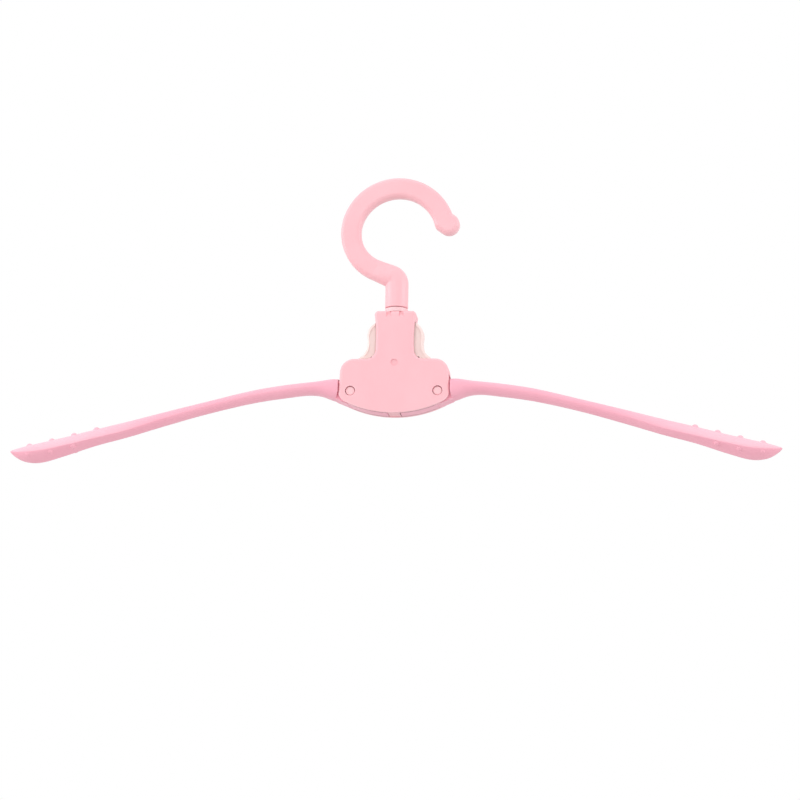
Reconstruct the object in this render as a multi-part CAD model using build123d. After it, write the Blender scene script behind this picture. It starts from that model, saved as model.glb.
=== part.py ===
from build123d import *
from math import acos, atan2, cos, degrees, radians, sin, tan
import os

# A folding travel hanger: a swivelling hook carries a two-shell hub, two arms fold down from the hub on pivot
# pins, and a button on each side of the hub's neck draws a latch leaf off a tooth on the arm.
# Millimetres, +X to the right, +Y away from the viewer, +Z up. The parts are drawn with the pin line at Z 0, and
# saved with the origin on the hook's inner top, where a rail touches it. X 0 is the swivel axis.

# Running and seating clearances
pivot_clearance = 0.08
swivel_clearance = 0.08
seat_clearance = 0.02
sliding_clearance = 0.3
overrun = 1.0

# Hub shells
pin_spacing = 47.0
hub_depth = 14.0
plate_thickness = 2.0
side_wall = 1.6
pin_corner_radius = 6.4
belly_depth = 11.9
shoulder_height = 17.8
shoulder_inset = 1.0
shoulder_corner_radius = 7.5
neck_height = 44.1
neck_top_width = 23.0
neck_waist_width = 20.3
neck_waist_height = 26.5
neck_root_fillet = 5.0
neck_top_corner = 2.0
cover_edge_round = 1.8
neck_cap_height = 5.5
scoop_span = 9.4
scoop_rib_width = 4.2
scoop_height = 3.4
scoop_depth = 2.2
dimple_radius = 1.9
dimple_depth = 0.5
dimple_height = 15.5
keel_rib_height = 2.6
keel_rib_sink = 0.3
rail_width = 1.1
rail_depth = 0.7

# Pivot pins and the screw that closes the shells
pin_radius = 2.4
pin_ring_gap = 0.3
pin_sink = 0.7
pin_edge_chamfer = 0.3
pin_seat_depth = 1.2
screw_radius = 1.3
screw_head_radius = 2.8
screw_head_height = 1.9
screw_point_length = 1.4
screw_slot_width = 0.8
screw_slot_depth = 0.9
screw_boss_radius = 3.0
head_boss_radius = 4.0
head_sink = 0.5

# Hook
hook_width = 10.9
hook_depth = 8.0
hook_edge_round = 2.4
hook_bend_radius = 25.75
hook_bend_offset = 0.26
hook_corner_angle = 12.75
hook_corner_radius = 2.9
hook_end_angle = 11.1
hook_end_radius = 5.8
hook_end_shift = 2.1
hook_notch_fillet = 2.5
hook_lower_bend_start = 160.0
hook_lower_bend_radius = 22.5
hook_limb_slope = 22.5
elbow_bend_radius = 4.9
shank_length = 16.5
shank_radius = 6.2
shank_end_chamfer = 0.35
collar_height = 2.3
collar_gap = 0.35
stem_radius = 2.1
stem_flange_radius = 3.4
stem_flange_height = 1.9
stem_tip_length = 0.6

# Arms
arm_reach = 207.8
arm_drop = 31.3
paddle_depth = 16.0
arm_end_gap = 0.3
arm_end_foot = 1.1
arm_end_foot_drop = 3.2
arm_overlap = 3.4
arm_disc_radius = 6.1
arm_wrap_radius = 6.8
arm_wrap_end = 62.0
tail_thickness = 1.8
tail_tip_radius = 23.1
tooth_radius = 8.8
tooth_top = 5.5
tooth_bottom = 2.6
grip_pitch = 12.05
grip_first_inset = 10.5
grip_radius = 1.9
grip_sink = 0.7
top_grip_count = 4
side_grip_count = 3
side_grip_share = 0.2
arm_section_count = 30

# Buttons, their latch leaves and their spring
button_travel = 2.8
button_proud = 5.0
button_pad_depth = 8.8
button_foot_rise = 1.8
button_foot_inset = 2.35
button_throat_rise = 1.4
button_heel_inset = 7.05
button_heel_rise = 0.1
button_heel_slope = 0.8
button_panel_sink = 0.3
flange_thickness = 1.2
flange_gap = 0.2
leg_wall = 0.95
leg_outer_wall = 1.25
leg_sink = 1.0
leg_inner_sink = 2.3
leaf_thickness = 0.8
leaf_length = 8.2
leaf_depth = 7.0
leaf_pin_distance = 4.8
spring_coil_radius = 2.5
spring_wire_radius = 0.3
spring_turns = 6
spigot_radius = 1.9
spigot_length = 1.6

# Values that follow from those above
pin_x = pin_spacing / 2
hub_face = hub_depth / 2
cavity_face = hub_face - plate_thickness
moving_face = cavity_face - sliding_clearance
hub_half_width = pin_x + pin_corner_radius
shoulder_half_width = hub_half_width - shoulder_inset
belly_radius = (pin_x**2 + belly_depth**2 - pin_corner_radius**2) / (2 * (belly_depth - pin_corner_radius))
belly_centre = belly_radius - belly_depth
belly_angle = degrees(atan2(belly_centre, pin_x))
cap_bottom = neck_height - neck_cap_height
skirt_bottom = -belly_depth - 2 * cover_edge_round
skirt_half_width = hub_half_width - shoulder_inset * skirt_bottom / shoulder_height
wall_bottom = tooth_radius + 2 * sliding_clearance
collar_bottom = neck_height
shank_bottom = collar_bottom + collar_height + collar_gap
elbow_height = shank_bottom + shank_length
stem_flange_top = cap_bottom - sliding_clearance
stem_flange_bottom = stem_flange_top - stem_flange_height
stem_tip = stem_flange_bottom - stem_tip_length
flange_face = stem_flange_radius + sliding_clearance + button_travel
rail_reach = flange_face + flange_gap + rail_width
leaf_inner = pin_x - leaf_pin_distance
leaf_bottom = tooth_top + sliding_clearance
leg_inner = leaf_inner - leg_wall
leg_outer = leaf_inner + leaf_thickness + leg_outer_wall
button_foot = leg_outer - button_foot_inset
button_foot_height = shoulder_height + button_foot_rise
button_throat_bottom = shoulder_height + button_throat_rise
flange_bottom = button_throat_bottom + sliding_clearance
flange_top = stem_tip - sliding_clearance
spring_height = (flange_bottom + flange_top) / 2


def slab(profile, y_low, y_high):
    """A profile drawn with x across and y up, as a plate between two depths."""
    return extrude(Plane.XZ.offset(-y_high) * profile, y_high - y_low)


def deep(profile, depth):
    """The same, centred on the hub's middle plane."""
    return slab(profile, -depth / 2, depth / 2)


def outline(*corners):
    """A face with these corners, turned the same way whatever their order."""
    following = corners[1:] + corners[:1]
    turn = sum(here[0] * there[1] - there[0] * here[1] for here, there in zip(corners, following))
    ordered = corners if turn > 0 else corners[::-1]
    return make_face(Polyline(*ordered, close=True))


def box_between(x_low, x_high, z_low, z_high):
    """A rectangle between two pairs of places."""
    return Pos((x_low + x_high) / 2, (z_low + z_high) / 2) * Rectangle(x_high - x_low, z_high - z_low)


def both_sides(profile):
    """A profile and its mirror image in the swivel axis."""
    return profile + mirror(profile, Plane.YZ)


def rod(radius, x, z, y_low, y_high):
    """A cylinder along Y between two depths."""
    return slab(Pos(x, z) * Circle(radius), y_low, y_high)


def upright(radius, z_low, z_high):
    """A cylinder on the swivel axis between two heights."""
    return Pos(0, 0, (z_low + z_high) / 2) * Cylinder(radius, z_high - z_low)


def polar(centre, radius, angle):
    """The point at an angle on a circle, in degrees from +X."""
    return (centre[0] + radius * cos(radians(angle)), centre[1] + radius * sin(radians(angle)))


def cover_outline():
    """The hub seen from the front: belly, pin corners, shoulders and waisted neck."""
    belly_end = polar((0, belly_centre), belly_radius, -belly_angle)
    corner_middle = polar((pin_x, 0), pin_corner_radius, -belly_angle / 2)
    waist = (neck_waist_width / 2, neck_waist_height)
    neck_root = (neck_waist_width / 2 + (neck_top_width - neck_waist_width) / 4, shoulder_height)
    neck_corner = (neck_top_width / 2, neck_height)
    shoulder_corner = (shoulder_half_width, shoulder_height)
    edges = [
        ThreePointArc((-belly_end[0], belly_end[1]), (0, -belly_depth), belly_end),
        ThreePointArc(belly_end, corner_middle, (hub_half_width, 0)),
        Line((hub_half_width, 0), shoulder_corner),
        Line(shoulder_corner, neck_root),
        ThreePointArc(neck_root, waist, neck_corner),
        Line(neck_corner, (0, neck_height)),
    ]
    face = make_face(edges + [mirror(edge, Plane.YZ) for edge in edges[1:]])
    for (x, z), radius in (
        (shoulder_corner, shoulder_corner_radius),
        (neck_root, neck_root_fillet),
        (neck_corner, neck_top_corner),
    ):
        for side in (x, -x):
            face = fillet(face.vertices().sort_by_distance((side, z))[0], radius)
    return face


def keel_rib():
    """The rib between the arms' tail tips that spaces the shells at the belly."""
    sweep = both_sides(Pos(pin_x, 0) * Circle(tail_tip_radius + sliding_clearance))
    block = box_between(-pin_x / 2, pin_x / 2, -belly_depth, keel_rib_height - belly_depth)
    return offset(cover_outline(), -keel_rib_sink) & (block - sweep)


def cavity():
    """The hollow between the shells' walls, open at the belly, the arm slots and the button windows."""
    inside = offset(cover_outline(), -side_wall)
    wide = hub_half_width + overrun
    low = box_between(-wide, wide, -belly_depth - overrun, wall_bottom)
    window_outer = leg_outer + sliding_clearance
    button_window = both_sides(box_between(flange_face, window_outer, wall_bottom, cap_bottom))
    cap = box_between(-wide, wide, cap_bottom, neck_height)
    return inside + low + button_window - cap - keel_rib()


def below_belly():
    """The space outside the belly and the pin corners, under the pin line."""
    wide = hub_half_width + 2 * overrun
    return box_between(-wide, wide, skirt_bottom - overrun, 0) - cover_outline()


def shell():
    """The rear one of the hub's two shells, rounded above the pin line and crisp along the belly."""
    skirt = outline(
        (-hub_half_width, 0), (hub_half_width, 0), (skirt_half_width, skirt_bottom), (-skirt_half_width, skirt_bottom)
    )
    body = slab(cover_outline() + skirt, 0, hub_face)
    rim = body.faces().sort_by(Axis.Y)[-1].outer_wire().edges()
    body = fillet(rim, cover_edge_round) - slab(below_belly(), -overrun, hub_face + overrun)
    body -= slab(cavity(), -overrun, cavity_face)
    rail_top = flange_top - rail_width
    rails = both_sides(box_between(rail_reach - rail_width, rail_reach, button_foot_height, rail_top))
    body += slab(rails, cavity_face - rail_depth, cavity_face)
    return body - upright(stem_radius + swivel_clearance, cap_bottom - overrun, neck_height + overrun)


def neck_scoops():
    """The two wedges hollowed from the top of the neck's front face, either side of a narrow rib."""
    wedge = outline(
        (-hub_face, neck_height),
        (scoop_depth - hub_face, neck_height),
        (-hub_face, neck_height - scoop_height),
    )
    block = extrude(Plane.YZ.offset(scoop_rib_width / 2) * wedge, (scoop_span - scoop_rib_width) / 2)
    return block + mirror(block, Plane.YZ)


def front_cover():
    """The shell that faces the viewer, with the pins' wells, a dimple, two scoops and the screw's boss."""
    body = mirror(shell(), Plane.XZ)
    for x in (-pin_x, pin_x):
        body -= rod(pin_radius + pin_ring_gap, x, 0, -hub_face - overrun, 0)
    body -= neck_scoops()
    body -= rod(dimple_radius, 0, dimple_height, -hub_face - overrun, dimple_depth - hub_face)
    body += rod(screw_boss_radius, 0, dimple_height, -cavity_face, 0)
    return body - rod(screw_radius + seat_clearance, 0, dimple_height, -cavity_face, overrun)


def rear_cover():
    """The shell at the back, with the pins' blind seats and the sunk screw head."""
    body = shell()
    for x in (-pin_x, pin_x):
        body -= rod(pin_radius + seat_clearance, x, 0, 0, cavity_face + pin_seat_depth)
    head_seat = hub_face - head_sink - screw_head_height
    body += rod(head_boss_radius, 0, dimple_height, 0, cavity_face)
    body -= rod(screw_radius + seat_clearance, 0, dimple_height, -overrun, hub_face)
    return body - rod(screw_head_radius + sliding_clearance, 0, dimple_height, head_seat, hub_face + overrun)


def cover_screw():
    """The screw that draws the shells together, driven from the back."""
    head_seat = hub_face - head_sink - screw_head_height
    head = rod(screw_head_radius, 0, dimple_height, head_seat, head_seat + screw_head_height)
    head = fillet(head.edges().filter_by(GeomType.CIRCLE).sort_by(Axis.Y)[-1], screw_slot_depth / 2)
    shank = rod(screw_radius, 0, dimple_height, screw_point_length - cavity_face, head_seat)
    slots = Rectangle(screw_slot_width, screw_head_radius) + Rectangle(screw_head_radius, screw_slot_width)
    slot_floor = head_seat + screw_head_height - screw_slot_depth
    recess = slab(Pos(0, dimple_height) * slots, slot_floor, hub_face)
    return head + shank - recess


def pivot_pin(x):
    """A pin that an arm turns on, seated in the rear shell, with its end a little way down the front one's well."""
    pin = rod(pin_radius, x, 0, pin_sink - hub_face, cavity_face + pin_seat_depth)
    return chamfer(pin.edges().filter_by(GeomType.CIRCLE), pin_edge_chamfer)


# Where the hook's two bends meet its sloping limb, worked out from the elbow on the shank
elbow_turn = 90 - hook_limb_slope
elbow_tangent = elbow_bend_radius * tan(radians(elbow_turn / 2))
limb_turn = 270 - hook_limb_slope
lower_start_offset = polar((hook_bend_offset, 0), hook_bend_radius, hook_lower_bend_start)
lower_centre_offset = polar(lower_start_offset, hook_lower_bend_radius, hook_lower_bend_start - 180)
limb_start_offset = polar(lower_centre_offset, hook_lower_bend_radius, limb_turn)
elbow_offset = limb_start_offset[1] + limb_start_offset[0] * tan(radians(hook_limb_slope))
bend_centre_height = elbow_height - elbow_offset
hook_inner_radius = hook_bend_radius - hook_width / 2
hook_outer_radius = hook_bend_radius + hook_width / 2
hook_end_reach = hook_bend_radius + hook_end_shift
hook_notch_cosine = (hook_outer_radius**2 + hook_end_reach**2 - hook_end_radius**2) / (
    2 * hook_outer_radius * hook_end_reach
)
hook_notch_angle = hook_end_angle + degrees(acos(hook_notch_cosine))
rail_seat_height = bend_centre_height + hook_inner_radius


def hook_limb():
    """The sloping limb, which turns from the bends' flat bar into the shank's round one."""
    thick_place = polar((0, elbow_height), elbow_tangent, 180 - hook_limb_slope)
    way = (cos(radians(hook_limb_slope)), 0, -sin(radians(hook_limb_slope)))
    across = (-way[2], 0, way[0])
    flat_place = (limb_start_offset[0], 0, limb_start_offset[1] + bend_centre_height)
    flat_end = Plane(flat_place, x_dir=across, z_dir=way)
    thick_end = Plane((thick_place[0], 0, thick_place[1]), x_dir=across, z_dir=way)
    flat = flat_end * RectangleRounded(hook_width, hook_depth, hook_edge_round)
    thick = thick_end * Circle(shank_radius)
    return loft([flat, thick]) + extrude(thick, elbow_tangent)


def round_elbow(limb_and_shank):
    """Rounds the outside of the bend where the limb turns down into the shank. Its inside stays a plain mitre."""
    reach = 2 * (elbow_bend_radius + shank_radius)
    centre = (-elbow_bend_radius, elbow_height - elbow_tangent)
    sector = outline(centre, *(polar(centre, reach, angle) for angle in (0, elbow_turn / 2, elbow_turn)))
    square = Pos(shank_radius, 0) * Rectangle(2 * shank_radius, 2 * shank_radius)
    outside = (Pos(elbow_bend_radius, 0) * Circle(shank_radius)) & square
    bend = Pos(centre[0], 0, centre[1]) * revolve(outside, -Axis.Y, elbow_turn)
    return limb_and_shank - deep(sector, 2 * reach) + bend


def ring_part(centre, radius, width, start, end):
    """Part of a flat ring between two angles."""
    middle = (start + end) / 2
    inner, outer = (
        [polar(centre, radius + side * width / 2, angle) for angle in (start, middle, end)] for side in (-1, 1)
    )
    return make_face(
        [ThreePointArc(*inner), Line(inner[-1], outer[-1]), ThreePointArc(*reversed(outer)), Line(outer[0], inner[0])]
    )


def hook_bends():
    """The flat-faced C, from its blunt tip to where the sloping limb begins, with rounded edges."""
    centre = (hook_bend_offset, bend_centre_height)
    lower_centre, limb_start = (
        (x, z + bend_centre_height) for x, z in (lower_centre_offset, limb_start_offset)
    )
    upper = ring_part(centre, hook_bend_radius, hook_width, hook_corner_angle, hook_lower_bend_start)
    lower = ring_part(lower_centre, hook_lower_bend_radius, hook_width, hook_lower_bend_start, limb_turn)
    corner = Pos(*polar(centre, hook_inner_radius + hook_corner_radius, hook_corner_angle)) * Circle(hook_corner_radius)
    end = Pos(*polar(centre, hook_end_reach, hook_end_angle)) * Circle(hook_end_radius)
    face = upper + lower + make_hull(corner.edges() + end.edges())
    notch = polar(centre, hook_outer_radius, hook_notch_angle)
    face = fillet(face.vertices().sort_by_distance(notch)[0], hook_notch_fillet)
    bar = deep(face, hook_depth)
    faces = bar.faces().sort_by(Axis.Y)
    limb_end = (limb_start[0], 0, limb_start[1])
    rim = [edge for side in (faces[0], faces[-1]) for edge in side.edges().sort_by_distance(limb_end)[1:]]
    return fillet(rim, hook_edge_round)


def hook():
    """The hook: a flat-faced C, a sloping limb, the round shank and the flanged stem that hangs the hub."""
    shank = upright(shank_radius, shank_bottom, elbow_height)
    foot = shank.edges().filter_by(GeomType.CIRCLE).sort_by(Axis.Z)[0]
    body = hook_bends() + round_elbow(hook_limb() + chamfer(foot, shank_end_chamfer))
    body += upright(stem_radius, stem_tip, shank_bottom)
    return body + upright(stem_flange_radius, stem_flange_bottom, stem_flange_top)


def swivel_collar():
    """The ring between the hook's shank and the neck."""
    ring = upright(shank_radius, collar_bottom, collar_bottom + collar_height)
    ring = chamfer(ring.edges().filter_by(GeomType.CIRCLE).sort_by(Axis.Z)[-1], shank_end_chamfer)
    return ring - upright(stem_radius + swivel_clearance, collar_bottom - overrun, shank_bottom)


# Places along the arm, as shares chosen by hand. Reach is a share of the way from the hub to the tip. Top and bottom
# are shares of the arm's drop, measured down from the pin line. Depth is a share of the paddle's depth. Side is how
# far down the section its widest line lies. Round is 1 for a full oval and less for a creased section.
arm_shares = (
    # reach, top, bottom, depth, side, upper round, lower round
    (0.000, -0.230, 0.140, 0.875, 0.48, 1.45, 1.45),
    (0.038, -0.220, 0.066, 0.850, 0.48, 1.35, 1.35),
    (0.088, -0.192, 0.026, 0.750, 0.50, 1.15, 1.15),
    (0.160, -0.150, 0.071, 0.690, 0.50, 1.00, 1.00),
    (0.260, -0.058, 0.158, 0.655, 0.50, 1.00, 1.00),
    (0.400, 0.133, 0.343, 0.630, 0.52, 1.00, 1.00),
    (0.540, 0.330, 0.573, 0.670, 0.58, 0.95, 0.80),
    (0.640, 0.475, 0.747, 0.730, 0.68, 0.85, 0.55),
    (0.740, 0.612, 0.902, 0.820, 0.67, 0.75, 0.40),
    (0.840, 0.757, 1.090, 0.940, 0.58, 0.75, 0.48),
    (0.905, 0.845, 1.190, 1.000, 0.53, 0.82, 0.62),
    (0.950, 0.905, 1.180, 0.870, 0.50, 0.90, 0.75),
    (0.980, 0.950, 1.105, 0.560, 0.48, 0.85, 0.80),
    (0.994, 0.976, 1.040, 0.280, 0.48, 1.00, 1.00),
)
oval_handle_share = 0.5523
section_crowding = 1.5


def arm_place(reach_share):
    """How far out a share of the arm's reach lies."""
    return hub_half_width + reach_share * (arm_reach - hub_half_width)


def arm_slopes(before, row, after):
    """How fast each share changes at a row, read from the rows beside it."""
    return [(high - low) / (after[0] - before[0]) for low, high in zip(before, after)]


def arm_row(reach_share):
    """Every share at any place along the arm, on a smooth curve through the chosen rows."""
    index = max(1, next((i for i, row in enumerate(arm_shares) if row[0] >= reach_share), len(arm_shares) - 1))
    near, far = arm_shares[index - 1], arm_shares[index]
    near_slopes = arm_slopes(arm_shares[max(index - 2, 0)], near, far)
    far_slopes = arm_slopes(near, far, arm_shares[min(index + 1, len(arm_shares) - 1)])
    span = far[0] - near[0]
    t = (reach_share - near[0]) / span
    row = []
    for low, high, low_slope, high_slope in zip(near, far, near_slopes, far_slopes):
        value = low * (1 + 2 * t) * (1 - t) ** 2 + high * t**2 * (3 - 2 * t)
        row.append(value + span * (low_slope * t * (1 - t) ** 2 - high_slope * t**2 * (1 - t)))
    return row


def arm_sizes(reach_share):
    """The arm's ridge, keel, widest line and half depth at a place, with how round its corners are."""
    _, top_share, bottom_share, depth_share, side_share, upper_share, lower_share = arm_row(reach_share)
    top = -top_share * arm_drop
    bottom = -bottom_share * arm_drop
    side = top - side_share * (top - bottom)
    return top, bottom, side, depth_share * paddle_depth / 2, upper_share, lower_share


def arm_section(reach_share):
    """A section across the arm: four curves that meet at its ridge, its two sides and its keel."""
    x = arm_place(reach_share)
    top, bottom, side, half, upper_share, lower_share = arm_sizes(reach_share)

    def quarter(sign, end, round_share):
        handle = oval_handle_share * round_share
        return (
            (x, 0, end),
            (x, sign * half * handle, end),
            (x, sign * half, side + (end - side) * handle),
            (x, sign * half, side),
        )

    front_top = Bezier(*quarter(-1, top, upper_share))
    front_bottom = Bezier(*reversed(quarter(-1, bottom, lower_share)))
    rear_bottom = Bezier(*quarter(1, bottom, lower_share))
    rear_top = Bezier(*reversed(quarter(1, top, upper_share)))
    return Face(Wire([front_top, front_bottom, rear_bottom, rear_top]))


def arm_blade():
    """The arm outside the hub, from its squared root to the pointed paddle tip."""
    last_share = arm_shares[-1][0]
    steps = [index / (arm_section_count - 1) for index in range(arm_section_count)]
    places = [last_share * (1 - (1 - step) ** section_crowding) for step in steps]
    tip = Vertex(arm_reach, 0, -arm_drop)
    blade = loft([arm_section(place) for place in places] + [tip])
    inside = pin_x
    below = -belly_depth - overrun
    end_cut = outline(
        (inside, shoulder_height),
        (hub_half_width + arm_end_gap, shoulder_height),
        (hub_half_width + arm_end_gap, 0),
        (hub_half_width + arm_end_foot, -arm_end_foot_drop),
        (hub_half_width + arm_end_foot, below),
        (inside, below),
    )
    return blade - deep(end_cut, 2 * hub_depth)


def arm_core():
    """The part of the arm that turns between the shells: disc, latch tooth, tail and the web to the blade."""
    pin = (pin_x, 0)
    tooth_zone = box_between(pin_x - tooth_radius, pin_x, tooth_bottom, tooth_top)
    tooth = (Pos(pin_x, 0) * Circle(tooth_radius)) & tooth_zone
    belly = Pos(0, belly_centre) * (Circle(belly_radius) - Circle(belly_radius - tail_thickness))
    tail = belly & (Pos(pin_x, 0) * Circle(tail_tip_radius)) & box_between(0, pin_x, -belly_depth, 0)
    web_end = hub_half_width + arm_end_foot + arm_overlap
    root_top, root_bottom = arm_sizes(0)[:2]
    wrap = (Pos(pin_x, 0) * Circle(arm_wrap_radius)) & box_between(pin_x, web_end, -belly_depth, -arm_end_foot_drop)
    web = outline(
        (pin_x, arm_disc_radius - sliding_clearance),
        (web_end, root_top - arm_end_foot),
        (web_end, -arm_end_foot_drop / 2),
        (hub_half_width + arm_end_foot + sliding_clearance, root_bottom + sliding_clearance),
        polar(pin, arm_wrap_radius, -arm_wrap_end),
        (pin_x, -arm_disc_radius),
    )
    disc = Pos(pin_x, 0) * Circle(arm_disc_radius)
    return disc + tooth + tail + wrap + web


def grips():
    """The rows of small domes that hold a garment on the paddle: one on the ridge, one under each side line."""
    domes = []
    for index in range(top_grip_count):
        x = arm_reach - grip_first_inset - index * grip_pitch
        top, bottom, side, half, _, _ = arm_sizes((x - hub_half_width) / (arm_reach - hub_half_width))
        domes.append(Pos(x, 0, top - grip_sink) * Sphere(grip_radius))
        if index < side_grip_count:
            height = side + side_grip_share * (bottom - side)
            reach = half * (1 - side_grip_share) - grip_sink
            domes += [Pos(x, sign * reach, height) * Sphere(grip_radius) for sign in (-1, 1)]
    return domes


def right_arm():
    """The arm on the right, with its bore for the pivot pin."""
    body = arm_blade() + deep(arm_core(), 2 * moving_face)
    for dome in grips():
        body += dome
    return body - rod(pin_radius + pivot_clearance, pin_x, 0, -hub_face, hub_face)


def along_x(radius, x_low, x_high):
    """A cylinder along X on the spring's axis."""
    length = x_high - x_low
    return Pos((x_low + x_high) / 2, 0, spring_height) * Rot(0, 90, 0) * Cylinder(radius, length)


def leaf_profile():
    """The latch leaf seen from the front."""
    return box_between(leaf_inner, leaf_inner + leaf_thickness, leaf_bottom, leaf_bottom + leaf_length)


# The finger pad's outline from the top down, as shares chosen by hand: how proud of the neck's waist it stands, as a
# share of the most it does, and how high, as a share of the neck from shoulder to top. Its edges are rounded by a share
# of the same length, because a shorter pad bends more tightly. The sunk panel on each face has the same outline, drawn
# in to these shares of its width and height.
button_shares = ((0.210, 0.764), (0.810, 0.654), (1.010, 0.517), (0.950, 0.373), (1.060, 0.215))
button_edge_share = 0.061
button_panel_shares = (0.72, 0.90)


def right_button():
    """The right button: a finger pad, a throat between the guide rails, an inner flange and the leg."""
    neck_length = neck_height - shoulder_height
    places = [
        (neck_waist_width / 2 + proud_share * button_proud, shoulder_height + height_share * neck_length)
        for proud_share, height_share in button_shares
    ]
    top = places[0]
    foot = (button_foot, button_foot_height)
    contour = Spline(*places, foot)
    heel = leg_outer - button_heel_inset
    rest = Polyline(
        foot,
        (leg_outer, shoulder_height - leg_sink),
        (leg_outer, wall_bottom),
        (leg_inner, wall_bottom),
        (leg_inner, shoulder_height - leg_inner_sink),
        (heel, shoulder_height + button_heel_rise),
        (heel - button_heel_slope, button_throat_bottom),
        (flange_face, button_throat_bottom),
        (flange_face, top[1] - sliding_clearance),
        top,
    )
    whole = make_face([contour, rest])
    pad_start = rail_reach + button_travel + sliding_clearance
    beyond = box_between(pad_start, leg_outer, wall_bottom, top[1])
    pad = deep(whole & beyond, button_pad_depth)
    pad = fillet(pad.edges().filter_by(GeomType.BSPLINE), button_edge_share * neck_length)
    across_share, up_share = button_panel_shares
    inset = [
        (pad_start + across_share * (x - pad_start), button_foot_height + up_share * (z - button_foot_height))
        for x, z in (*places, foot)
    ]
    edge = Polyline(inset[-1], (pad_start, inset[-1][1]), (pad_start, inset[0][1]), inset[0])
    panel = make_face([Spline(*inset), edge])
    panel_face = button_pad_depth / 2 - button_panel_sink
    pad -= slab(panel, panel_face, button_pad_depth) + slab(panel, -button_pad_depth, -panel_face)
    throat_depth = 2 * (cavity_face - rail_depth - sliding_clearance)
    throat = deep(whole - beyond, throat_depth)
    flange_inner = flange_face - flange_thickness
    flange = deep(box_between(flange_inner, flange_face, flange_bottom, flange_top), 2 * moving_face)
    spigot = along_x(spigot_radius, flange_inner - spigot_length, flange_face)
    slot = deep(leaf_profile(), leaf_depth + seat_clearance)
    return pad + throat + flange + spigot - slot


def right_latch_leaf():
    """The springy leaf in the button's leg, whose end stands behind the tooth on the arm."""
    return deep(leaf_profile(), leaf_depth)


def button_spring():
    """The coil spring that pushes the two buttons apart."""
    reach = flange_face - flange_thickness - spring_wire_radius
    height = 2 * reach
    start = (-reach, 0, spring_height)
    path = Helix(height / spring_turns, height, spring_coil_radius, center=start, direction=(1, 0, 0))
    section = Plane(path @ 0, z_dir=path % 0) * Circle(spring_wire_radius)
    return sweep(section, path=path, is_frenet=True)


def export(node, shape):
    """Writes one piece with the origin on the rail seat."""
    export_step(Pos(0, 0, -rail_seat_height) * shape, f"parts/{node}.step")


def main():
    os.makedirs("parts", exist_ok=True)
    arm = right_arm()
    export("hook", hook())
    export("swivel_collar", swivel_collar())
    export("front_cover", front_cover())
    export("rear_cover", rear_cover())
    export("cover_screw", cover_screw())
    export("right_arm", arm)
    export("left_arm", mirror(arm, Plane.YZ))
    export("right_pivot_pin", pivot_pin(pin_x))
    export("left_pivot_pin", pivot_pin(-pin_x))
    button = right_button()
    export("right_button", button)
    export("left_button", mirror(button, Plane.YZ))
    leaf = right_latch_leaf()
    export("right_latch_leaf", leaf)
    export("left_latch_leaf", mirror(leaf, Plane.YZ))
    export("button_spring", button_spring())


main()
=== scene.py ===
"""A folding travel hanger in soft pink plastic with cream buttons, hung in a plain studio.

The shapes are the CAD nodes. This file gives each of them its moulded or metal surface, and sets the lamps,
floor and camera.
"""

import math

import bmesh
import bpy
from mathutils import Matrix, Vector


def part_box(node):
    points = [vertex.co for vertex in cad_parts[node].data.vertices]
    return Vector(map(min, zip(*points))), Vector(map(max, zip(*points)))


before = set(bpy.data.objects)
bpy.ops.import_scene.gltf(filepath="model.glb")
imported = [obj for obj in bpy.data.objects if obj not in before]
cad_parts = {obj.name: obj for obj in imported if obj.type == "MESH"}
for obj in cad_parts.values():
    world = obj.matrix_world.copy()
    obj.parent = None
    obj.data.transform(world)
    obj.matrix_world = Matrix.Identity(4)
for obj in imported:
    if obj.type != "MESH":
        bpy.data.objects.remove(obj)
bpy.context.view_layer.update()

bl_info = {
    "name": "Folding Travel Hanger",
    "version": (1, 0, 0),
    "blender": (4, 5, 0),
    "location": "View3D > Sidebar > Hanger",
    "description": "Gives a folding travel hanger its plastics and steel, and sets it in a plain studio",
    "category": "Object",
}

# How long the patches in the shared finishes are, in metres
LINE_BREAKS = 0.006
RUBBED_PATCHES = 0.005
PIGMENT_STREAKS = 0.009
PIGMENT_SPECKS = 0.0007
METAL_SMEARS = 0.003
PAPER_FIBRES = 0.02

# The streaks of pigment are drawn out up and down, and streaks and specks change its colour by these shares
STREAK_STRETCH = (1.0, 1.0, 0.35)
DRIFT_SHARE = 0.22
SPECK_SHARE = 0.35

# Which way the lines run in each metal: a low number draws them out along that axis
ROLLED_UPWARDS = (1.0, 1.0, 0.05)
DRAWN_ALONG_COIL = (0.3, 1.0, 1.0)
EVEN = (1.0, 1.0, 1.0)

# How far a plastic's roughness swings to each side of its middle value, and how much a full rub takes off it
SMOOTHER = 0.03
ROUGHER = 0.04
RUB_POLISH = 0.12
PLASTIC_IOR = 1.5

# Each soft lamp: its name, the setting that holds its power, its side and its place, in metres
LAMPS = (
    ("front_lamp", "key_power", 1.6, (-0.7, -1.9, 0.7)),
    ("top_lamp", "top_power", 1.2, (0.1, -0.35, 1.3)),
    ("left_lamp", "left_power", 1.4, (-2.0, -0.5, 0.3)),
    ("right_lamp", "right_power", 1.4, (2.0, -0.5, 0.2)),
)

# The painted shadow line is full for this share of its length; metal edges are rubbed this share as far in
CREVICE_FULL_SHARE = 0.9
METAL_EDGE_SHARE = 1 / 3

# The floor's edge is a many-sided ring, and between these shares of its radius it fades to white
FLOOR_SIDES = 96
FLOOR_FADE_SHARES = (0.15, 0.5)

FLOAT = "NodeSocketFloat"
COLOUR = "NodeSocketColor"
VECTOR = "NodeSocketVector"
WHITE = (1.0, 1.0, 1.0, 1.0)

# A Mix node's sockets are told apart by number, because those of its other kinds have the same names
MIX_SHARE = 0
MIX_VALUES = (2, 3)
MIX_COLOURS = (6, 7)
MIXED_VALUE = 0
MIXED_COLOUR = 2


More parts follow.
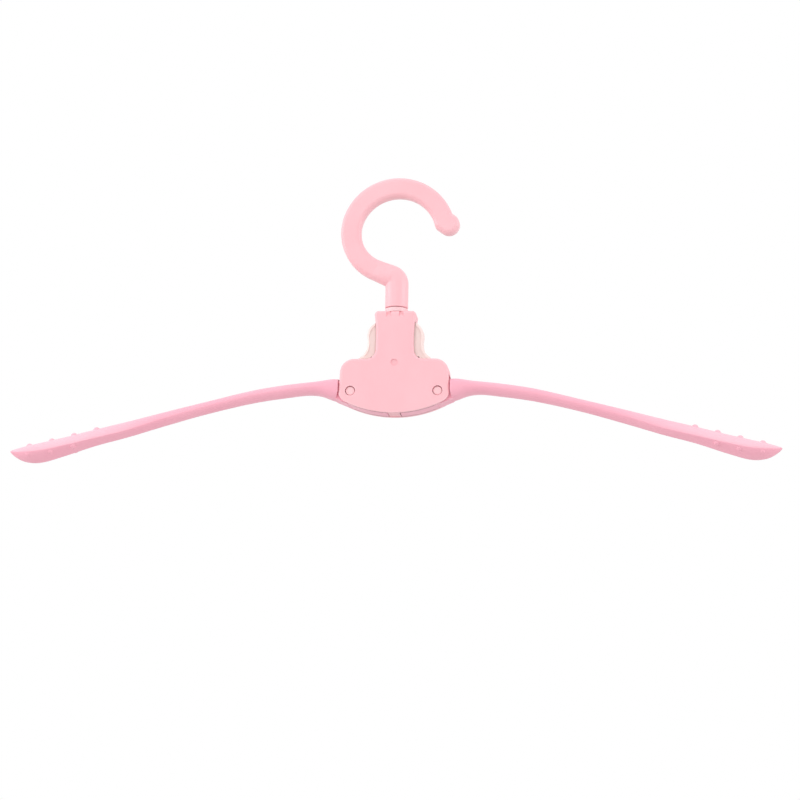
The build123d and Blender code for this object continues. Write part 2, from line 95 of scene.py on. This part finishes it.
def colour_property(name, description, default):
    """A colour that a user may change."""
    return bpy.props.FloatVectorProperty(
        name=name, description=description, subtype="COLOR", size=3, min=0, max=1, default=default
    )


def length_property(name, description, default):
    """A length in metres that a user may change."""
    return bpy.props.FloatProperty(
        name=name, description=description, unit="LENGTH", min=0, precision=5, default=default
    )


def share_property(name, description, default):
    """A number from none to all that a user may change."""
    return bpy.props.FloatProperty(
        name=name, description=description, subtype="FACTOR", min=0, max=1, default=default
    )


def angle_property(name, description, degrees):
    """An angle that a user may change."""
    return bpy.props.FloatProperty(
        name=name, description=description, subtype="ANGLE", default=math.radians(degrees)
    )


def plain_property(name, description, default):
    """A number with no unit of Blender's own that a user may change."""
    return bpy.props.FloatProperty(name=name, description=description, min=0, default=default)


class HangerColours(bpy.types.PropertyGroup):
    """The colours of the hanger's plastics and steel, and of the shade and highlight painted on them"""

    pink: colour_property("Pink", "Colour of the hook and the hub", (0.95, 0.525, 0.57))
    pink_drift: colour_property("Pink drift", "That pink where its pigment is thicker", (0.94, 0.47, 0.515))
    pink_worn: colour_property("Worn pink", "The paler pink of edges that hands rub", (0.97, 0.68, 0.73))
    # Painted shade: each deep tone is the colour its piece is darkened to in its own hollows
    pink_hollow_shade: colour_property("Deep pink", "The pink down in hollows", (0.88, 0.37, 0.43))
    # The blush is painted light on the collar, paler than the hub's pink to lift the shade under the shank
    blush: colour_property("Blush", "The paler pink of the collar and the pins", (0.97, 0.62, 0.65))
    rose: colour_property("Rose", "Colour of the two arms, a cooler pink", (0.94, 0.44, 0.54))
    rose_drift: colour_property("Rose drift", "The rose where its pigment is thicker", (0.92, 0.38, 0.49))
    rose_worn: colour_property("Worn rose", "The paler rose of rubbed edges", (0.96, 0.54, 0.62))
    # Painted shade: the rose that the arms are darkened to in their hollows
    rose_hollow_shade: colour_property("Deep rose", "The rose down in hollows", (0.85, 0.26, 0.35))
    # Painted highlight: the paler rose laid on the arms' upper sides far from the swivel axis
    rose_highlight: colour_property("Faded rose", "The rose of upper sides that garments rub", (0.93, 0.52, 0.61))
    cream: colour_property("Cream", "Colour of the two buttons", (0.92, 0.73, 0.7))
    cream_drift: colour_property("Cream drift", "The cream where its pigment is thicker", (0.89, 0.68, 0.64))
    cream_worn: colour_property("Worn cream", "The paler cream of rubbed edges", (0.92, 0.77, 0.73))
    # Painted shade: the cream that the buttons are darkened to in their hollows
    cream_hollow_shade: colour_property("Deep cream", "The cream down in hollows", (0.9, 0.66, 0.62))
    seam: colour_property("Seam", "Colour down in the line where the two shells meet", (0.5, 0.2, 0.24))
    # Painted shadow: the dark line laid on the arms' tails close under the shells' edges
    crevice_shade: colour_property("Crevice", "Colour of the arms' tails close under the shells", (0.3, 0.08, 0.12))
    steel: colour_property("Steel", "Colour of the leaves and spring", (0.56, 0.57, 0.6))
    zinc: colour_property("Zinc", "Colour of the plated cover screw", (0.62, 0.61, 0.58))


class HangerSurfaces(bpy.types.PropertyGroup):
    """The sizes of the marks that moulding, plating and handling leave, and of the painted shade and
    highlight
    """

    grain: length_property("Grain", "Size of the finest mould grain", 0.00035)
    grain_rise: length_property("Grain rise", "Height of that grain", 0.000006)
    flow: length_property("Flow", "Length of the slow waves of a cooled moulding", 0.014)
    flow_rise: length_property("Flow rise", "Height of those waves", 0.00003)
    seam_width: length_property("Seam width", "Width of a mould's parting line", 0.00022)
    seam_rise: length_property("Seam rise", "How far a parting line stands up", 0.00004)
    edge_reach: length_property("Edge reach", "How far in from an edge handling reaches", 0.0012)
    edge_share: share_property("Edge wear", "How strongly handled edges are paler", 0.5)
    # How far the painted shade in hollows reaches, and how strongly it darkens the colour
    hollow_reach: length_property("Hollow reach", "How far the walls of a hollow shade it", 0.0022)
    hollow_shade_share: share_property("Hollow shade", "How strongly hollows are deeper in colour", 0.6)
    # Where the painted shadow line on the arms lies, how wide it spreads and where it ends
    crevice_off: length_property("Crevice off", "From the middle plane to where arms and shells meet", 0.0047)
    crevice_width: length_property("Crevice width", "How far shade spreads from that line", 0.0012)
    crevice_end: length_property("Crevice end", "Where it ends, from the swivel axis", 0.0235)
    # Where the painted highlight on the arms' upper sides begins and where it is full, from the swivel axis
    highlight_start: length_property("Fade start", "Where the arms begin to fade, from the swivel axis", 0.11)
    highlight_end: length_property("Fade end", "Where they are faded most", 0.18)
    brush: length_property("Brush", "Width of the finest lines in the steel", 0.00008)
    brush_rise: length_property("Brush rise", "Depth of those lines", 0.000004)


class HangerStudio(bpy.types.PropertyGroup):
    """The camera, lamps and floor"""

    lens: plain_property("Lens", "Camera focal length in millimetres", 277.3)
    distance: length_property("Distance", "Camera to hanger", 3.303)
    azimuth: angle_property("Azimuth", "Camera's turn to the right", 6.27)
    elevation: angle_property("Elevation", "Camera's height angle", -12.96)
    roll: angle_property("Roll", "Camera's lean to the right", 1.11)
    aim_right: length_property("Aim right", "Aim point right of the swivel axis", 0.0028)
    aim_down: length_property("Aim down", "Aim point under the pins", 0.0037)
    sky_high: share_property("High sky", "Light of the surroundings from above", 0.98)
    sky_low: share_property("Low sky", "Light of the surroundings at eye level", 0.84)
    key_power: plain_property("Key power", "Watts of the front lamp", 5)
    top_power: plain_property("Top power", "Watts of the lamp overhead", 2)
    left_power: plain_property("Left power", "Watts of the lamp on the left", 14)
    right_power: plain_property("Right power", "Watts of the lamp on the right", 10)
    floor_drop: length_property("Floor drop", "Floor under the hook's rail seat", 1.35)
    floor_radius: length_property("Floor radius", "How far the floor reaches", 9)
    floor_shade: share_property("Floor shade", "How much light the floor throws back up", 0.76)


def add_node(tree, kind, sockets=None, **choices):
    """Adds a shader node, with each of these sockets set to a value or wired from another node's socket."""
    new = tree.nodes.new(kind)
    for name, value in choices.items():
        setattr(new, name, value)
    for socket, value in (sockets or {}).items():
        if isinstance(value, bpy.types.NodeSocket):
            tree.links.new(value, new.inputs[socket])
        else:
            new.inputs[socket].default_value = value
    return new


def sum_of(tree, operation, first, second):
    """One step of arithmetic."""
    return add_node(tree, "ShaderNodeMath", {0: first, 1: second}, operation=operation).outputs[0]


def size_of(tree, value):
    """A value without its sign."""
    return add_node(tree, "ShaderNodeMath", {0: value}, operation="ABSOLUTE").outputs[0]


def part_of(tree, vector, axis):
    """One of a vector's three parts, named X, Y or Z."""
    return add_node(tree, "ShaderNodeSeparateXYZ", {0: vector}).outputs[axis]


def blend_values(tree, share, first, second):
    """A value between two others."""
    sockets = {MIX_SHARE: share, **dict(zip(MIX_VALUES, (first, second)))}
    return add_node(tree, "ShaderNodeMix", sockets).outputs[MIXED_VALUE]


def blend_colours(tree, share, first, second):
    """A colour between two others."""
    sockets = {MIX_SHARE: share, **dict(zip(MIX_COLOURS, (first, second)))}
    return add_node(tree, "ShaderNodeMix", sockets, data_type="RGBA").outputs[MIXED_COLOUR]


def spread(tree, value, low, high, new_low=0.0, new_high=1.0):
    """Stretches a range of values to a new range, smoothly, with nothing outside it."""
    return add_node(
        tree,
        "ShaderNodeMapRange",
        {"Value": value, "From Min": low, "From Max": high, "To Min": new_low, "To Max": new_high},
        interpolation_type="SMOOTHSTEP",
    ).outputs["Result"]


def stretched(tree, place, stretch):
    """A place scaled along each axis."""
    return add_node(tree, "ShaderNodeVectorMath", {0: place, 1: stretch}, operation="MULTIPLY").outputs[0]


def noise(tree, place, size, detail):
    """Noise whose patches are about this long, in metres."""
    scale = sum_of(tree, "DIVIDE", 1.0, size)
    sockets = {"Vector": place, "Scale": scale, "Detail": detail}
    return add_node(tree, "ShaderNodeTexNoise", sockets).outputs["Fac"]


def bumped_normal(tree, height):
    """The normal of a surface with this height on it, in metres."""
    sockets = {"Height": height, "Strength": 1.0, "Distance": 1.0}
    return add_node(tree, "ShaderNodeBump", sockets).outputs["Normal"]


def new_group(name, inputs, outputs):
    """An empty node group with its sockets, and its two end nodes."""
    group = bpy.data.node_groups.new(name, "ShaderNodeTree")
    for socket, kind in inputs.items():
        group.interface.new_socket(socket, in_out="INPUT", socket_type=kind)
    for socket, kind in outputs.items():
        group.interface.new_socket(socket, in_out="OUTPUT", socket_type=kind)
    return group, group.nodes.new("NodeGroupInput").outputs, group.nodes.new("NodeGroupOutput").inputs


def group_node(tree, name, **sockets):
    """Places a shared node group in a material with its own values."""
    new = tree.nodes.new("ShaderNodeGroup")
    new.node_tree = bpy.data.node_groups[name]
    for socket, value in sockets.items():
        socket = new.inputs[socket.replace("_", " ").capitalize()]
        if isinstance(value, bpy.types.NodeSocket):
            tree.links.new(value, socket)
        else:
            socket.default_value = value
    return new.outputs


def object_place(tree):
    """Where a point lies on its own piece, in metres, which turns with the piece."""
    return add_node(tree, "ShaderNodeTexCoord").outputs["Object"]


def mould_skin_group():
    """The fine grain of a mould's wall, and the slow waves of plastic that cooled in it."""
    group, given, result = new_group(
        "mould skin",
        {"Grain": FLOAT, "Grain rise": FLOAT, "Flow": FLOAT, "Flow rise": FLOAT},
        {"Height": FLOAT, "Patches": FLOAT},
    )
    place = object_place(group)
    grain = noise(group, place, given["Grain"], detail=2.0)
    flow = noise(group, place, given["Flow"], detail=1.0)
    fine = sum_of(group, "MULTIPLY", grain, given["Grain rise"])
    slow = sum_of(group, "MULTIPLY", flow, given["Flow rise"])
    group.links.new(sum_of(group, "ADD", fine, slow), result["Height"])
    group.links.new(spread(group, flow, low=0.3, high=0.7), result["Patches"])


def parting_line_group():
    """A thin broken line all round a piece, on its middle plane or as far off it on each side."""
    group, given, result = new_group(
        "parting line", {"Width": FLOAT, "Rise": FLOAT, "Off": FLOAT}, {"Height": FLOAT, "Line": FLOAT}
    )
    place = object_place(group)
    off_middle = size_of(group, part_of(group, place, "Y"))
    off_line = size_of(group, sum_of(group, "SUBTRACT", off_middle, given["Off"]))
    whole = spread(group, off_line, low=0.0, high=given["Width"], new_low=1.0, new_high=0.0)
    breaks = noise(group, place, LINE_BREAKS, detail=2.0)
    kept = spread(group, breaks, low=0.2, high=0.5, new_low=0.35, new_high=1.0)
    line = sum_of(group, "MULTIPLY", whole, kept)
    group.links.new(sum_of(group, "MULTIPLY", line, given["Rise"]), result["Height"])
    group.links.new(line, result["Line"])


def handled_edge_group():
    """Where fingers and cloth rub an edge: paler in broken patches along it."""
    group, given, result = new_group("handled edge", {"Reach": FLOAT, "Share": FLOAT}, {"Wear": FLOAT})
    rounded = add_node(group, "ShaderNodeBevel", {"Radius": given["Reach"]}, samples=6).outputs["Normal"]
    flat = add_node(group, "ShaderNodeNewGeometry").outputs["Normal"]
    both = {0: rounded, 1: flat}
    alike = add_node(group, "ShaderNodeVectorMath", both, operation="DOT_PRODUCT").outputs["Value"]
    edge = spread(group, alike, low=0.75, high=0.99, new_low=1.0, new_high=0.0)
    patches = noise(group, object_place(group), RUBBED_PATCHES, detail=3.0)
    rubbed = spread(group, patches, low=0.35, high=0.65, new_low=0.4, new_high=1.0)
    wear = sum_of(group, "MULTIPLY", edge, rubbed)
    group.links.new(sum_of(group, "MULTIPLY", wear, given["Share"]), result["Wear"])


def hollow_shade_group():
    """How far down in a hollow of its own piece a point lies, as the strength of its painted shade."""
    group, given, result = new_group("hollow", {"Reach": FLOAT, "Share": FLOAT}, {"Depth": FLOAT})
    open_share = add_node(
        group, "ShaderNodeAmbientOcclusion", {"Distance": given["Reach"]}, samples=8, only_local=True
    ).outputs["AO"]
    shut = spread(group, open_share, low=0.3, high=0.97, new_low=1.0, new_high=0.0)
    group.links.new(sum_of(group, "MULTIPLY", shut, given["Share"]), result["Depth"])


def pigment_group():
    """A plastic's colour: slow drifts of its pigment, specks in it, paler worn places and painted shade in
    hollows.
    """
    group, given, result = new_group(
        "pigment",
        {
            "Colour": COLOUR,
            "Drift": COLOUR,
            "Worn": COLOUR,
            "Deep": COLOUR,
            "Patches": FLOAT,
            "Wear": FLOAT,
            "Depth": FLOAT,
        },
        {"Colour": COLOUR},
    )
    place = object_place(group)
    streaks = noise(group, stretched(group, place, STREAK_STRETCH), PIGMENT_STREAKS, detail=4.0)
    streaks = spread(group, streaks, low=0.35, high=0.75)
    drift = sum_of(group, "MULTIPLY", sum_of(group, "ADD", streaks, given["Patches"]), DRIFT_SHARE)
    toned = blend_colours(group, drift, given["Colour"], given["Drift"])
    specks = noise(group, place, PIGMENT_SPECKS, detail=2.0)
    specks = spread(group, specks, low=0.68, high=0.8, new_high=SPECK_SHARE)
    speckled = blend_colours(group, specks, toned, given["Worn"])
    rubbed = blend_colours(group, given["Wear"], speckled, given["Worn"])
    # Painted shade: the colour is darkened towards the deep tone as far as the hollow is closed
    group.links.new(blend_colours(group, given["Depth"], rubbed, given["Deep"]), result["Colour"])


def brushed_group():
    """The fine parallel lines that rolling or turning leaves in metal, drawn out along one way."""
    group, given, result = new_group(
        "brushed metal", {"Line": FLOAT, "Rise": FLOAT, "Along": VECTOR}, {"Height": FLOAT, "Dullness": FLOAT}
    )
    place = object_place(group)
    lines = noise(group, stretched(group, place, given["Along"]), given["Line"], detail=2.0)
    smears = noise(group, place, METAL_SMEARS, detail=2.0)
    group.links.new(sum_of(group, "MULTIPLY", lines, given["Rise"]), result["Height"])
    dull = sum_of(group, "ADD", lines, smears)
    group.links.new(spread(group, dull, low=0.7, high=1.4, new_low=0.22, new_high=0.42), result["Dullness"])


GROUPS = {
    "mould skin": mould_skin_group,
    "parting line": parting_line_group,
    "handled edge": handled_edge_group,
    "hollow": hollow_shade_group,
    "pigment": pigment_group,
    "brushed metal": brushed_group,
}


def build_groups():
    """Makes the shared node groups that aren't there yet."""
    for name, build in GROUPS.items():
        if name not in bpy.data.node_groups:
            build()


def settings():
    """The scene's own copy of the properties."""
    scene = bpy.context.scene
    return scene.hanger_colours, scene.hanger_surfaces, scene.hanger_studio


def new_material(name):
    """An empty material with its shader."""
    build_groups()
    material = bpy.data.materials.new(name)
    material.use_nodes = True
    return material.node_tree, material.node_tree.nodes["Principled BSDF"], material


def opaque(colour):
    """A property's colour as a shader takes it."""
    return (*colour, 1.0)


def far_share(tree, start, end):
    """How far out on an arm a point lies, from none at one distance off the swivel axis to all at another."""
    off_axis = size_of(tree, part_of(tree, object_place(tree), "X"))
    return spread(tree, off_axis, low=start, high=end)


def upper_share(tree):
    """How much a point belongs to the upper side of its own piece, where the painted highlight is laid."""
    facing = add_node(tree, "ShaderNodeTexCoord").outputs["Normal"]
    return spread(tree, part_of(tree, facing, "Z"), low=-0.15, high=0.3)


def crevice_shade_share(tree):
    """How close a point on an arm lies to the line where it meets the shells, as the strength of the painted
    shadow.
    """
    _, surfaces, _ = settings()
    near = far_share(tree, surfaces.crevice_end, surfaces.crevice_end * CREVICE_FULL_SHARE)
    meeting = group_node(tree, "parting line", width=surfaces.crevice_width, off=surfaces.crevice_off)
    return sum_of(tree, "MULTIPLY", near, meeting["Line"])


def plastic_colour(tree, tones, patches, wear, shade_share, lightened):
    """A plastic's pigment, with painted shade in its hollows and, where a lightened colour is given, a
    painted highlight on its far upper side.
    """
    _, surfaces, _ = settings()
    share = surfaces.hollow_shade_share * shade_share
    # Painted shade: the piece's own hollows darken its colour
    hollow = group_node(tree, "hollow", reach=surfaces.hollow_reach, share=share)
    colour, drift, worn, deep = (opaque(tone) for tone in tones)
    # Painted highlight: far from the swivel axis, up-facing surfaces are lightened
    if lightened:
        far = far_share(tree, surfaces.highlight_start, surfaces.highlight_end)
        painted_highlight = sum_of(tree, "MULTIPLY", far, upper_share(tree))
        colour = blend_colours(tree, painted_highlight, colour, opaque(lightened))
        drift = blend_colours(tree, painted_highlight, drift, opaque(lightened))
    return group_node(
        tree,
        "pigment",
        colour=colour,
        drift=drift,
        worn=worn,
        deep=deep,
        patches=patches,
        wear=wear,
        depth=hollow["Depth"],
    )["Colour"]


def moulded_plastic(name, tones, gloss, grain_share, shade_share=1.0, seam=None, crevice_shade=None, lightened=None):
    """A moulded plastic: pigment, mould grain, a parting line, handled edges and painted shade in hollows.

    The four tones are its colour, and that colour where it drifts, where it is worn and as painted shade in
    hollows. Gloss is the middle value that its roughness swings about. The two shares scale its grain's
    height and the strength of the painted shade in its hollows. Where given, a seam is the colour of a sunk
    line, a shade colour is painted as a shadow line where the piece meets the shells, and a lightened colour
    is painted as a highlight on its upper side far from the swivel axis.
    """
    _, surfaces, _ = settings()
    tree, shader, material = new_material(name)
    skin = group_node(
        tree,
        "mould skin",
        grain=surfaces.grain,
        grain_rise=surfaces.grain_rise * grain_share,
        flow=surfaces.flow,
        flow_rise=surfaces.flow_rise,
    )
    rise = -surfaces.seam_rise if seam else surfaces.seam_rise
    line = group_node(tree, "parting line", width=surfaces.seam_width, rise=rise)
    edge = group_node(tree, "handled edge", reach=surfaces.edge_reach, share=surfaces.edge_share)
    colour = plastic_colour(tree, tones, skin["Patches"], edge["Wear"], shade_share, lightened)
    if seam:
        colour = blend_colours(tree, line["Line"], colour, opaque(seam))
    # Painted shadow: a dark line where the piece meets the shells
    if crevice_shade:
        colour = blend_colours(tree, crevice_shade_share(tree), colour, opaque(crevice_shade))
    tree.links.new(colour, shader.inputs["Base Color"])
    smooth, rough = gloss - SMOOTHER, gloss + ROUGHER
    dull = spread(tree, skin["Patches"], low=0.0, high=1.0, new_low=smooth, new_high=rough)
    polish = sum_of(tree, "MULTIPLY", edge["Wear"], RUB_POLISH)
    tree.links.new(sum_of(tree, "SUBTRACT", dull, polish), shader.inputs["Roughness"])
    height = sum_of(tree, "ADD", skin["Height"], line["Height"])
    tree.links.new(bumped_normal(tree, height), shader.inputs["Normal"])
    shader.inputs["IOR"].default_value = PLASTIC_IOR
    return material


def pink_plastic(name, gloss, grain_share, **marks):
    """The pink of the hook and the hub."""
    colours, _, _ = settings()
    tones = (colours.pink, colours.pink_drift, colours.pink_worn, colours.pink_hollow_shade)
    return moulded_plastic(name, tones, gloss, grain_share, **marks)


def blush_plastic(name, gloss, grain_share):
    """The paler pink of the pins and the swivel collar; on the collar it is painted light against its shade.
    """
    colours, _, _ = settings()
    tones = (colours.blush, colours.pink, colours.pink_worn, colours.pink_hollow_shade)
    return moulded_plastic(name, tones, gloss, grain_share)


def metal(name, colour, along, plated_share):
    """A brushed or plated metal, paler where its plating is thick."""
    _, surfaces, _ = settings()
    tree, shader, material = new_material(name)
    lines = group_node(tree, "brushed metal", line=surfaces.brush, rise=surfaces.brush_rise, along=along)
    edge = group_node(tree, "handled edge", reach=surfaces.edge_reach * METAL_EDGE_SHARE, share=plated_share)
    tone = blend_colours(tree, edge["Wear"], opaque(colour), WHITE)
    tree.links.new(tone, shader.inputs["Base Color"])
    tree.links.new(lines["Dullness"], shader.inputs["Roughness"])
    tree.links.new(bumped_normal(tree, lines["Height"]), shader.inputs["Normal"])
    shader.inputs["Metallic"].default_value = 1.0
    return material


def dress(material, *nodes):
    """Gives CAD nodes one material."""
    for name in nodes:
        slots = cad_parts[name].data.materials
        slots.clear()
        slots.append(material)


class HANGER_OT_hook(bpy.types.Operator):
    """Finishes the hook in glossy pink plastic, with its mould's parting line"""

    bl_idname = "hanger.hook"
    bl_label = "Hook"

    def execute(self, context):
        dress(pink_plastic("pink_hook_plastic", gloss=0.33, grain_share=0.5), "hook")
        return {"FINISHED"}


class HANGER_OT_collar(bpy.types.Operator):
    """Finishes the ring between the hook and the neck"""

    bl_idname = "hanger.collar"
    bl_label = "Swivel collar"

    def execute(self, context):
        # The collar's paler blush is painted light, lifting the shade it sits in under the shank
        dress(blush_plastic("blush_collar_plastic", gloss=0.42, grain_share=1.0), "swivel_collar")
        return {"FINISHED"}


class HANGER_OT_covers(bpy.types.Operator):
    """Finishes the hub's two shells in satin pink plastic, with the line where they meet"""

    bl_idname = "hanger.covers"
    bl_label = "Hub covers"

    def execute(self, context):
        colours, _, _ = settings()
        satin = pink_plastic(
            "pink_cover_plastic", gloss=0.45, grain_share=1.3, shade_share=0.65, seam=colours.seam
        )
        dress(satin, "front_cover", "rear_cover")
        return {"FINISHED"}


class HANGER_OT_pins(bpy.types.Operator):
    """Finishes the two pins that the arms turn on"""

    bl_idname = "hanger.pins"
    bl_label = "Pivot pins"

    def execute(self, context):
        blush = blush_plastic("blush_pin_plastic", gloss=0.4, grain_share=0.8)
        dress(blush, "right_pivot_pin", "left_pivot_pin")
        return {"FINISHED"}


class HANGER_OT_arms(bpy.types.Operator):
    """Finishes the two arms in rose plastic, with their mould's parting line"""

    bl_idname = "hanger.arms"
    bl_label = "Arms"

    def execute(self, context):
        colours, _, _ = settings()
        tones = (colours.rose, colours.rose_drift, colours.rose_worn, colours.rose_hollow_shade)
        rose = moulded_plastic(
            "rose_arm_plastic",
            tones,
            gloss=0.38,
            grain_share=0.8,
            # The arms get a painted shadow line close under the shells
            crevice_shade=colours.crevice_shade,
            # The arms get a painted highlight far out on their upper sides
            lightened=colours.rose_highlight,
        )
        dress(rose, "right_arm", "left_arm")
        return {"FINISHED"}


class HANGER_OT_buttons(bpy.types.Operator):
    """Finishes the two cream buttons"""

    bl_idname = "hanger.buttons"
    bl_label = "Buttons"

    def execute(self, context):
        colours, _, _ = settings()
        tones = (colours.cream, colours.cream_drift, colours.cream_worn, colours.cream_hollow_shade)
        cream = moulded_plastic("cream_button_plastic", tones, gloss=0.36, grain_share=0.7, shade_share=0.5)
        dress(cream, "right_button", "left_button")
        return {"FINISHED"}


class HANGER_OT_latch(bpy.types.Operator):
    """Finishes the latch leaves and the spring between the buttons in bright steel"""

    bl_idname = "hanger.latch"
    bl_label = "Latch leaves and spring"

    def execute(self, context):
        colours, _, _ = settings()
        rolled = metal("rolled_steel", colours.steel, along=ROLLED_UPWARDS, plated_share=0.2)
        dress(rolled, "right_latch_leaf", "left_latch_leaf")
        drawn = metal("drawn_steel", colours.steel, along=DRAWN_ALONG_COIL, plated_share=0.1)
        dress(drawn, "button_spring")
        return {"FINISHED"}


class HANGER_OT_screw(bpy.types.Operator):
    """Finishes the plated screw at the back of the hub"""

    bl_idname = "hanger.screw"
    bl_label = "Cover screw"

    def execute(self, context):
        colours, _, _ = settings()
        dress(metal("zinc_plate", colours.zinc, along=EVEN, plated_share=0.4), "cover_screw")
        return {"FINISHED"}


def aim_axes(back, roll):
    """A camera's or lamp's turn, from the way back from what it looks at."""
    level_right = Vector((0, 0, 1)).cross(back).normalized()
    level_up = back.cross(level_right)
    right = math.cos(roll) * level_right + math.sin(roll) * level_up
    return Matrix((right, back.cross(right), back)).transposed().to_4x4()


def set_camera(scene, studio, aim):
    """The camera, at the photograph's viewing angle."""
    level = math.cos(studio.elevation)
    back = Vector(
        (math.sin(studio.azimuth) * level, -math.cos(studio.azimuth) * level, math.sin(studio.elevation))
    )
    camera = bpy.data.objects.new("camera", bpy.data.cameras.new("camera"))
    scene.collection.objects.link(camera)
    camera.data.lens = studio.lens
    camera.matrix_world = Matrix.Translation(aim + back * studio.distance) @ aim_axes(back, studio.roll)
    scene.camera = camera


def set_lamp(scene, name, power, size, place, aim):
    """A square soft lamp that faces its aim."""
    lamp = bpy.data.lights.new(name, "AREA")
    lamp.energy = power
    lamp.size = size
    holder = bpy.data.objects.new(name, lamp)
    scene.collection.objects.link(holder)
    place = Vector(place)
    holder.matrix_world = Matrix.Translation(place) @ aim_axes((place - aim).normalized(), 0)


def set_surroundings(scene, studio):
    """White to the camera and in reflections, and brighter above than below for the light it gives."""
    world = bpy.data.worlds.new("studio")
    scene.world = world
    world.use_nodes = True
    tree = world.node_tree
    seen = tree.nodes["Background"]
    seen.inputs["Color"].default_value = WHITE
    seen.inputs["Strength"].default_value = 1.0
    way = add_node(tree, "ShaderNodeTexCoord").outputs["Generated"]
    height = part_of(tree, way, "Z")
    level = spread(tree, height, low=-0.1, high=0.9, new_low=studio.sky_low, new_high=studio.sky_high)
    given = add_node(tree, "ShaderNodeBackground", {"Color": WHITE, "Strength": level}).outputs[0]
    light = add_node(tree, "ShaderNodeLightPath").outputs
    bright = sum_of(tree, "MAXIMUM", light["Is Camera Ray"], light["Is Transmission Ray"])
    bright = sum_of(tree, "MAXIMUM", bright, light["Is Glossy Ray"])
    mix = add_node(tree, "ShaderNodeMixShader", {0: bright, 1: given, 2: seen.outputs[0]})
    tree.links.new(mix.outputs[0], tree.nodes["World Output"].inputs["Surface"])


def floor_material(studio):
    """Pale paper that keeps a soft shadow near the hanger, and fades to white far from it."""
    material = bpy.data.materials.new("floor_paper")
    material.use_nodes = True
    tree = material.node_tree
    shader = tree.nodes["Principled BSDF"]
    light = add_node(tree, "ShaderNodeLightPath").outputs
    place = object_place(tree)
    fibres = noise(tree, place, PAPER_FIBRES, detail=4.0)
    pale = spread(tree, fibres, low=0.3, high=0.7, new_low=0.96, new_high=0.98)
    grey = sum_of(tree, "MULTIPLY", pale, studio.floor_shade)
    tone = blend_values(tree, light["Is Camera Ray"], grey, pale)
    tree.links.new(tone, shader.inputs["Base Color"])
    shader.inputs["Roughness"].default_value = 1.0
    shader.inputs["Specular IOR Level"].default_value = 0.0
    away = add_node(tree, "ShaderNodeVectorMath", {0: place}, operation="LENGTH").outputs["Value"]
    near_end, far_end = (studio.floor_radius * share for share in FLOOR_FADE_SHARES)
    far = spread(tree, away, low=near_end, high=far_end)
    lightened = sum_of(tree, "MULTIPLY", far, light["Is Camera Ray"])
    paper = add_node(tree, "ShaderNodeEmission", {"Color": WHITE, "Strength": 1.0}).outputs[0]
    mix = add_node(tree, "ShaderNodeMixShader", {0: lightened, 1: shader.outputs[0], 2: paper})
    tree.links.new(mix.outputs[0], tree.nodes["Material Output"].inputs["Surface"])
    return material


def set_floor(scene, studio):
    """A round pale floor, far enough under the hanger that the camera sees under its arms."""
    mesh = bpy.data.meshes.new("floor")
    disc = bmesh.new()
    bmesh.ops.create_circle(disc, cap_ends=True, segments=FLOOR_SIDES, radius=studio.floor_radius)
    disc.to_mesh(mesh)
    disc.free()
    mesh.materials.append(floor_material(studio))
    floor = bpy.data.objects.new("floor", mesh)
    floor.location.z = -studio.floor_drop
    scene.collection.objects.link(floor)


class HANGER_OT_studio(bpy.types.Operator):
    """Sets the camera, lamps, surroundings and floor"""

    bl_idname = "hanger.studio"
    bl_label = "Studio"

    def execute(self, context):
        _, _, studio = settings()
        low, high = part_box("right_pivot_pin")
        pins_height = (low.z + high.z) / 2
        hub = Vector((0, 0, pins_height))
        set_camera(context.scene, studio, hub + Vector((studio.aim_right, 0, -studio.aim_down)))
        set_surroundings(context.scene, studio)
        for name, power, size, place in LAMPS:
            set_lamp(context.scene, name, getattr(studio, power), size, place, hub)
        set_floor(context.scene, studio)
        context.scene.view_settings.view_transform = "Standard"
        return {"FINISHED"}


STEPS = (
    HANGER_OT_hook,
    HANGER_OT_collar,
    HANGER_OT_covers,
    HANGER_OT_pins,
    HANGER_OT_arms,
    HANGER_OT_buttons,
    HANGER_OT_latch,
    HANGER_OT_screw,
    HANGER_OT_studio,
)


class HANGER_PT_pieces(bpy.types.Panel):
    """Lists the hanger's pieces and what may be changed"""

    bl_idname = "HANGER_PT_pieces"
    bl_label = "Folding travel hanger"
    bl_space_type = "VIEW_3D"
    bl_region_type = "UI"
    bl_category = "Hanger"

    def draw(self, context):
        for step in STEPS:
            self.layout.operator(step.bl_idname)
        for values in settings():
            box = self.layout.box()
            for name in values.bl_rna.properties.keys():
                if name not in ("rna_type", "name"):
                    box.prop(values, name)


CLASSES = (HangerColours, HangerSurfaces, HangerStudio, *STEPS, HANGER_PT_pieces)


def register():
    for cls in CLASSES:
        bpy.utils.register_class(cls)
    bpy.types.Scene.hanger_colours = bpy.props.PointerProperty(type=HangerColours)
    bpy.types.Scene.hanger_surfaces = bpy.props.PointerProperty(type=HangerSurfaces)
    bpy.types.Scene.hanger_studio = bpy.props.PointerProperty(type=HangerStudio)


def unregister():
    del bpy.types.Scene.hanger_studio
    del bpy.types.Scene.hanger_surfaces
    del bpy.types.Scene.hanger_colours
    for cls in reversed(CLASSES):
        bpy.utils.unregister_class(cls)


def main():
    """Builds the scene."""
    register()
    bpy.ops.hanger.hook()
    bpy.ops.hanger.collar()
    bpy.ops.hanger.covers()
    bpy.ops.hanger.pins()
    bpy.ops.hanger.arms()
    bpy.ops.hanger.buttons()
    bpy.ops.hanger.latch()
    bpy.ops.hanger.screw()
    bpy.ops.hanger.studio()


if __name__ == "__main__":
    main()
